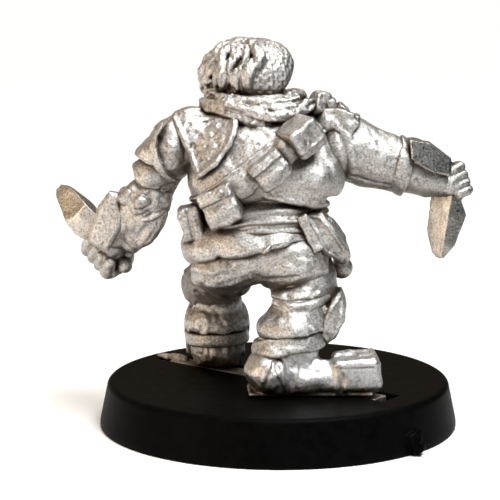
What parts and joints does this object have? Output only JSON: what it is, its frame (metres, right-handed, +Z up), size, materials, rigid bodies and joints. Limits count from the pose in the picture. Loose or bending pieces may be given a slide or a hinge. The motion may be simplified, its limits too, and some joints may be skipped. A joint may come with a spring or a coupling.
{
  "type": "gaming miniature",
  "caption": "Stocky cast-metal adventurer miniature with a dagger in each hand, kneeling forward, on a round slotted plastic base.",
  "frame": {"origin": "on the table, under the middle of the whole model's box", "axes": "+Z up; the figure faces -Y, so +X is towards its left hand"},
  "size_m": [0.0291, 0.025, 0.0269],
  "materials": {
    "black_plastic": "satin",
    "white_metal": "bare casting, softly burnished"
  },
  "bodies": {
    "base": {"slotted_base": "black_plastic"},
    "figure": {"bandolier_strap": "white_metal", "base_tab": "white_metal", "belt_buckle": "white_metal", "hair": "white_metal", "head": "white_metal", "hip_sheath": "white_metal", "jacket_skirt": "white_metal", "jacket_torso": "white_metal", "left_boot_foot": "white_metal", "left_boot_strap": "white_metal", "left_boot_top": "white_metal", "left_dagger_blade": "white_metal", "left_dagger_grip": "white_metal", "left_elbow_guard": "white_metal", "left_forearm": "white_metal", "left_gauntlet_cuff": "white_metal", "left_greave": "white_metal", "left_hand": "white_metal", "left_knee_pad": "white_metal", "left_lame_lower": "white_metal", "left_lame_upper": "white_metal", "left_shoulder_pad": "white_metal", "left_sleeve": "white_metal", "left_trouser_leg": "white_metal", "left_vambrace": "white_metal", "pouch_back": "white_metal", "pouch_hip": "white_metal", "pouch_shoulder": "white_metal", "pouch_side": "white_metal", "right_boot_foot": "white_metal", "right_boot_strap": "white_metal", "right_boot_top": "white_metal", "right_dagger_blade": "white_metal", "right_dagger_grip": "white_metal", "right_forearm": "white_metal", "right_hand": "white_metal", "right_knee_pad": "white_metal", "right_sleeve": "white_metal", "right_sleeve_cuff": "white_metal", "right_trouser_leg": "white_metal", "right_vambrace": "white_metal", "scarf": "white_metal", "sheath_ball": "white_metal", "shoulder_strap_plate": "white_metal", "shoulder_stud_1": "white_metal", "shoulder_stud_2": "white_metal", "shoulder_stud_3": "white_metal", "shoulder_stud_4": "white_metal", "trouser_seat": "white_metal", "waist_sash": "white_metal"}
  },
  "joints": [
    {"name": "figure_pull_out", "type": "slide", "parent": "base", "child": "figure", "axis": [0, 0, 1], "range_m": [0, 0.006]}
  ]
}
